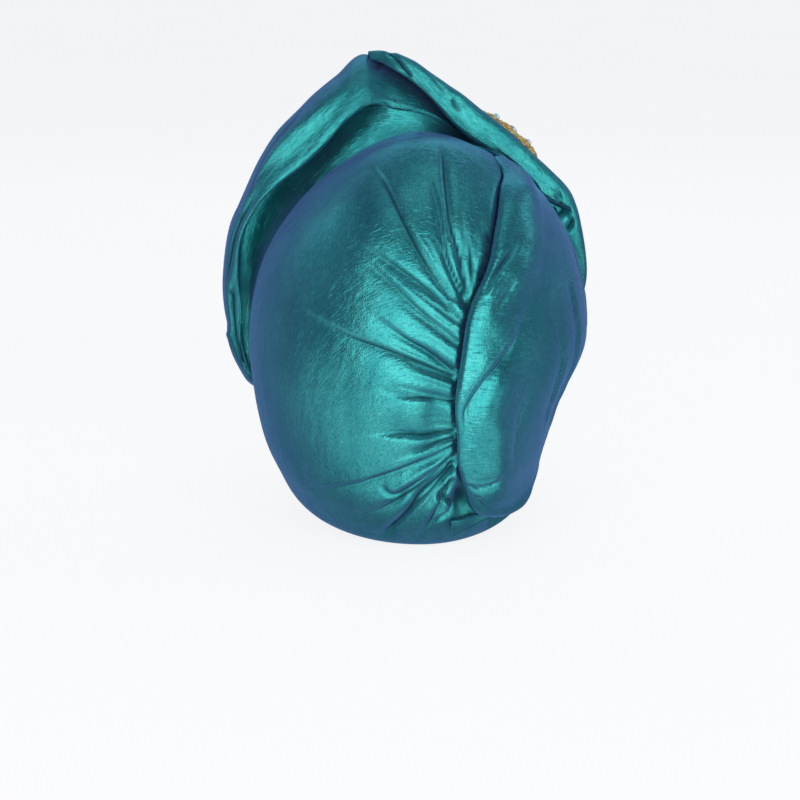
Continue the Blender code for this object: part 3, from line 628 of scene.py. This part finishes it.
class Shading:
    """One material and its nodes. Constants are sockets of its surface, with _ for each space."""

    def __init__(self, name, **constants):
        self.material = bpy.data.materials.new(name)
        self.material.use_nodes = True
        self.tree = self.material.node_tree
        self.surface = self.tree.nodes["Principled BSDF"]
        for socket, value in constants.items():
            self.surface.inputs[socket.replace("_", " ")].default_value = value

    def node(self, kind, settings=None, inputs=()):
        """A node with its settings, and its sockets by place or by name given values or links."""
        made = self.tree.nodes.new(kind)
        for key, value in (settings or {}).items():
            setattr(made, key, value)
        pairs = inputs.items() if isinstance(inputs, dict) else enumerate(inputs)
        for key, value in pairs:
            socket = made.inputs[key]
            value = value.socket if isinstance(value, Field) else value
            if isinstance(value, bpy.types.NodeSocket):
                self.tree.links.new(value, socket)
            else:
                socket.default_value = value
        return made

    def field(self, kind, settings=None, inputs=(), output=0):
        return Field(self, self.node(kind, settings, inputs).outputs[output])

    def feed(self, name, value):
        """Links a value to a socket of the surface."""
        value = value.socket if isinstance(value, Field) else value
        self.tree.links.new(value, self.surface.inputs[name])

    def ramp(self, factor, low, high):
        """0 up to low and 1 from high."""
        return self.field(
            "ShaderNodeMapRange",
            {"interpolation_type": "SMOOTHSTEP", "clamp": True},
            {"Value": factor, "From Min": low, "From Max": high},
        )

    def mixed(self, factor, a, b):
        """Between two colours."""
        made = self.node("ShaderNodeMix", {"data_type": "RGBA"})
        for socket, value in ((0, factor), (6, a), (7, b)):
            value = value.socket if isinstance(value, Field) else value
            if isinstance(value, bpy.types.NodeSocket):
                self.tree.links.new(value, made.inputs[socket])
            else:
                made.inputs[socket].default_value = value
        return made.outputs[2]

    def noise(self, where, scale, detail=2.0, roughness=0.5):
        inputs = {"Vector": where, "Scale": scale, "Detail": detail, "Roughness": roughness}
        return self.field("ShaderNodeTexNoise", {}, inputs)

    def stretched(self, where, across, along):
        """Coordinates that make a pattern fine one way and long the other."""
        inputs = [where, (across, along, 1.0)]
        return self.node("ShaderNodeVectorMath", {"operation": "MULTIPLY"}, inputs).outputs[0]


TEAL_DEEP = (0.006, 0.175, 0.205, 1.0)
TEAL = (0.028, 0.340, 0.335, 1.0)
TEAL_LIGHT = (0.085, 0.490, 0.450, 1.0)
# the near black of painted shade in creases and hollows
TEAL_PAINTED_SHADE = (0.002, 0.030, 0.045, 1.0)
SLATE_SHEEN = (0.22, 0.35, 0.90, 1.0)
COOL_GLANCE = (0.55, 0.80, 1.0, 1.0)
GOLD_WORN, GOLD_BRIGHT = (0.90, 0.55, 0.12, 1), (1.0, 0.80, 0.36, 1)
# painted fire: coloured glints of the stones
PAINTED_FIRE_BLUE, PAINTED_FIRE_PINK = (0.45, 0.85, 0.95, 1), (1.0, 0.72, 0.80, 1)
FLOOR_DARK, FLOOR_PALE = (0.24, 0.24, 0.24, 1), (0.26, 0.26, 0.26, 1)
GLOW_DARK, GLOW_PALE = (0.98, 0.98, 0.98, 1), (1.0, 1.0, 1.0, 1)
# How fine each pattern of the cloth is along its two coordinates, in waves to a metre
WEFT, WARP, SLUB, LIMP = (260.0, 1500.0), (1600.0, 300.0), (110.0, 900.0), (90.0, 130.0)


def cloth_finish(name):
    """Crisp shot taffeta: teal one way, slate the other, with uneven threads and painted shade in creases
    and hollows.
    """
    made = Shading(
        name, Metallic=0.93, IOR=1.45, Specular_Tint=COOL_GLANCE,
        Sheen_Weight=0.46, Sheen_Roughness=0.55, Sheen_Tint=SLATE_SHEEN,
    )
    cloth = made.node("ShaderNodeUVMap", {"uv_map": "cloth"}).outputs[0]
    weft = made.noise(made.stretched(cloth, *WEFT), 1.0, 3.0, 0.65)
    warp = made.noise(made.stretched(cloth, *WARP), 1.0, 3.0, 0.65)
    slub = made.ramp(made.noise(made.stretched(cloth, *SLUB), 1.0, 2.0), 0.58, 0.76)
    cloudy = made.noise(cloth, 42.0, 2.0)
    threads = weft * 0.55 + warp * 0.45
    # the painted shade that each piece carries
    line = made.field("ShaderNodeAttribute", {"attribute_name": "painted_shade"}, output=2)
    tone = made.mixed(made.ramp(threads, 0.36, 0.64), TEAL, TEAL_LIGHT)
    tone = made.mixed(made.ramp(cloudy, 0.35, 0.70) * 0.35, tone, TEAL_DEEP)
    # painted shade: creases and hollows darkened nearly to black
    tone = made.mixed(made.ramp(line, 0.15, 1.0) * 0.9, tone, TEAL_PAINTED_SHADE)
    made.feed("Base Color", tone)
    made.feed("Roughness", 0.13 + 0.12 * threads + 0.06 * cloudy + 0.4 * line)
    height = weft * 0.55 + warp * 0.40 + slub * 0.30
    fine = made.node("ShaderNodeBump", {}, {"Strength": 1.0, "Distance": 0.00034, "Height": height})
    limp = made.noise(made.stretched(cloth, *LIMP), 1.0, 3.0)
    over_fine = {"Strength": 0.36, "Distance": 0.0018, "Height": limp, "Normal": fine.outputs[0]}
    made.feed("Normal", made.node("ShaderNodeBump", {}, over_fine).outputs[0])
    return made.material


def gold_finish(name):
    """Gold with a worn, uneven shine."""
    made = Shading(name, Metallic=1.0)
    where = made.node("ShaderNodeTexCoord").outputs["Object"]
    worn = made.noise(where, 420.0, 3.0)
    made.feed("Base Color", made.mixed(made.ramp(worn, 0.35, 0.65), GOLD_WORN, GOLD_BRIGHT))
    made.feed("Roughness", 0.22 + 0.22 * worn)
    grain = {"Strength": 0.4, "Distance": 0.0003, "Height": made.noise(where, 1300.0)}
    made.feed("Normal", made.node("ShaderNodeBump", {}, grain).outputs[0])
    return made.material


def crystal_finish(name):
    """Cut stones, coated, with blue and pink fire painted into their colour."""
    made = Shading(name, Metallic=0.35, IOR=1.7, Coat_Weight=1.0, Coat_Roughness=0.02)
    where = made.node("ShaderNodeTexCoord").outputs["Object"]
    # painted fire, as patches of colour
    painted_fire = made.noise(where, 260.0, 1.0)
    made.feed("Base Color", made.mixed(made.ramp(painted_fire, 0.35, 0.65), PAINTED_FIRE_BLUE, PAINTED_FIRE_PINK))
    made.feed("Roughness", 0.04 + 0.08 * made.noise(where, 900.0))
    return made.material


def floor_finish(name):
    """A pale ground that glows a little, so that it stays even."""
    made = Shading(name, Emission_Strength=0.86)
    where = made.node("ShaderNodeTexCoord").outputs["Object"]
    mottle = made.noise(where, 3.0, 3.0)
    made.feed("Base Color", made.mixed(mottle, FLOOR_DARK, FLOOR_PALE))
    made.feed("Emission Color", made.mixed(mottle, GLOW_DARK, GLOW_PALE))
    made.feed("Roughness", 0.85 + 0.1 * mottle)
    return made.material


# pieces
def piece(name, bm, finish, smooth=True):
    """An object of its own from a finished bmesh."""
    mesh = bpy.data.meshes.new(name)
    bm.to_mesh(mesh)
    bm.free()
    mesh.polygons.foreach_set("use_smooth", [smooth] * len(mesh.polygons))
    mesh.materials.append(finish)
    obj = bpy.data.objects.new(name, mesh)
    bpy.context.scene.collection.objects.link(obj)
    return obj


def cloth_piece(name, squares, place, finish, offset=-1.0):
    """A grid put in place and thickened into one piece of cloth, with its own coordinates, relief and
    painted shade.
    """
    bm = bmesh.new()
    bmesh.ops.create_grid(bm, x_segments=squares[0], y_segments=squares[1], size=0.5)
    spots = np.array([vert.co for vert in bm.verts]) + 0.5
    points, flat, painted_shade = place(spots[:, 0], spots[:, 1])
    across, along = bm.verts.layers.float.new("across"), bm.verts.layers.float.new("along")
    # painted shade from creases, hollows and edges, kept on each point
    sunk = bm.verts.layers.float.new("painted_shade")
    for vert, point, (s, t), depth in zip(bm.verts, points * METRES, flat * METRES, painted_shade):
        vert.co = point
        vert[across], vert[along], vert[sunk] = s, t, depth
    bmesh.ops.remove_doubles(bm, verts=bm.verts, dist=1e-5)
    cloth = bm.loops.layers.uv.new("cloth")
    for face in bm.faces:
        for loop in face.loops:
            loop[cloth].uv = (loop.vert[across], loop.vert[along])
    obj = piece(name, bm, finish)
    thick = obj.modifiers.new("thickness", "SOLIDIFY")
    thick.thickness = CLOTH * METRES
    thick.offset = offset
    return obj


def dress(obj, slot, *nodes):
    """Attaches a piece to the root and hides the solids that it stands for. The slot is not used."""
    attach(obj, "root")
    if nodes:
        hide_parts(*nodes)


cloth = cloth_finish("shot_taffeta")
crown = cloth_piece("crown_cloth", (170, 290), crown_place, cloth)
wrap = cloth_piece("wrap_cloth", (150, 220), wrap_place, cloth, 0.0)
drape = cloth_piece("drape_cloth", (300, 150), drape_place, cloth)
band = cloth_piece("band_cloth", (260, 90), band_place, cloth)
flap = cloth_piece("flap_cloth", (40, 26), flap_place, cloth)
dress(crown, "crown_cloth", "crown")
dress(wrap, "side_wrap_cloth", "side_wrap")
dress(drape, "front_drape_cloth", "front_drape")
dress(band, "right_band_cloth", "right_band")
dress(flap, "nape_flap_cloth", "nape_flap")

gold, crystal = gold_finish("worn_gold"), crystal_finish("cut_crystal")
for name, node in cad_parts.items():
    if name.startswith("brooch"):
        node.data.materials.clear()
        node.data.materials.append(crystal if "stone" in name else gold)

AREA_OF_UPPER_BROOCH = 0.0014  # square metres, all faces
BEADS_ON_UPPER_BROOCH = 560
BEAD_RADIUS = 1.05


def beads(name, plates, finish, draws):
    """Round beads set close together over the plates of the brooches."""
    bm = bmesh.new()
    for plate in plates:
        plate.data.calc_loop_triangles()
        spots = [plate.matrix_world @ vertex.co for vertex in plate.data.vertices]
        corners = [[spots[k] for k in triangle.vertices] for triangle in plate.data.loop_triangles]
        areas = np.array([(b - a).cross(c - a).length / 2 for a, b, c in corners])
        count = int(BEADS_ON_UPPER_BROOCH * areas.sum() / AREA_OF_UPPER_BROOCH)
        for k in draws.choice(len(corners), count, p=areas / areas.sum()):
            a, b, c = corners[k]
            f, g = sorted(draws.random(2))
            radius = BEAD_RADIUS * METRES * (0.75 + 0.5 * draws.random())
            bead = bmesh.ops.create_icosphere(bm, subdivisions=1, radius=radius)
            bmesh.ops.translate(bm, verts=bead["verts"], vec=a * f + b * (g - f) + c * (1 - g))
    return piece(name, bm, finish)


plates = [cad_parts[name] for name in ("brooch_upper", "brooch_lower")]
gold_beads = beads("brooch_beads", plates, gold, np.random.default_rng(SEED + 1))
dress(gold_beads, "brooch_gold")

# camera, floor, light
# Places and sizes from here on are in metres.
AIM = Vector((0.01045, 0.0, 0.0188))
ELEVATION, DISTANCE = 12.0, 1.2
FRAME_HALF = 0.22  # half of what the picture shows at the aim
SENSOR = 36.0
FLOOR_RADIUS = 16.0
LIGHTS_LOOK_AT = Vector((0, 0, 0.06))
SEEN_BEHIND, LIT_BY, LIT_STRENGTH = (0.896, 0.914, 0.931, 1), (0.55, 0.72, 1.0, 1), 0.22


def camera():
    """From straight behind the cap and a little above."""
    data = bpy.data.cameras.new("camera")
    data.sensor_width = SENSOR
    data.lens = SENSOR / 2 * DISTANCE / FRAME_HALF
    data.clip_start, data.clip_end = 0.05, 60.0
    obj = bpy.data.objects.new("camera", data)
    e = math.radians(ELEVATION)
    back = Vector((0.0, math.cos(e), math.sin(e)))
    obj.location = AIM + DISTANCE * back
    obj.rotation_euler = (-back).to_track_quat("-Z", "Y").to_euler()
    bpy.context.scene.collection.objects.link(obj)
    bpy.context.scene.camera = obj


def floor(finish):
    """A wide disc just under the cap."""
    bm = bmesh.new()
    bmesh.ops.create_circle(bm, cap_ends=True, segments=96, radius=FLOOR_RADIUS)
    bmesh.ops.translate(bm, verts=bm.verts, vec=(0, 0, cad_box[0].z))
    obj = piece("floor", bm, finish, smooth=False)
    obj.visible_glossy = False


def softbox(name, azimuth, elevation, distance, width, height, radiance):
    """A soft area light that looks at the cap; azimuth 180 is the camera's side."""
    a, e = math.radians(azimuth), math.radians(elevation)
    away = Vector((math.sin(a) * math.cos(e), -math.cos(a) * math.cos(e), math.sin(e)))
    area_light(name, LIGHTS_LOOK_AT + distance * away, away, width, height, radiance)


def area_light(name, place, away, width, height, radiance):
    """A white panel at a place, shining against the direction it is given."""
    data = bpy.data.lights.new(name, "AREA")
    data.shape, data.size, data.size_y = "RECTANGLE", width, height
    data.energy = math.pi * radiance * width * height
    obj = bpy.data.objects.new(name, data)
    obj.location = place
    obj.rotation_euler = (-Vector(away)).to_track_quat("-Z", "Y").to_euler()
    obj.visible_camera = False
    bpy.context.scene.collection.objects.link(obj)


def surroundings():
    """As pale as the far floor to look at, dimmer and cooler as light."""
    world = bpy.data.worlds.new("studio")
    world.use_nodes = True
    bpy.context.scene.world = world
    tree = world.node_tree
    tree.nodes.clear()
    out = tree.nodes.new("ShaderNodeOutputWorld")
    mix = tree.nodes.new("ShaderNodeMixShader")
    seen, lit = tree.nodes.new("ShaderNodeBackground"), tree.nodes.new("ShaderNodeBackground")
    seen.inputs[0].default_value, seen.inputs[1].default_value = SEEN_BEHIND, 1.0
    lit.inputs[0].default_value, lit.inputs[1].default_value = LIT_BY, LIT_STRENGTH
    path = tree.nodes.new("ShaderNodeLightPath")
    tree.links.new(path.outputs["Is Camera Ray"], mix.inputs[0])
    tree.links.new(lit.outputs[0], mix.inputs[1])
    tree.links.new(seen.outputs[0], mix.inputs[2])
    tree.links.new(mix.outputs[0], out.inputs[0])


camera()
floor(floor_finish("pale_floor"))
surroundings()
softbox("key", 184, 10, 1.7, 2.6, 1.1, 1.9)
area_light("low_card", (-0.05, 0.66, cad_box[0].z + 0.002), (0, 0, -1), 1.3, 1.1, 0.62)
softbox("top_fill", 205, 74, 1.4, 1.3, 0.9, 0.35)
softbox("front_fill", 0, 42, 2.0, 1.8, 1.2, 0.5)
softbox("left_fill", 75, 30, 2.2, 1.0, 1.0, 0.5)
softbox("right_fill", 285, 30, 2.2, 1.0, 1.0, 0.75)
bpy.context.scene.view_settings.view_transform = "Standard"
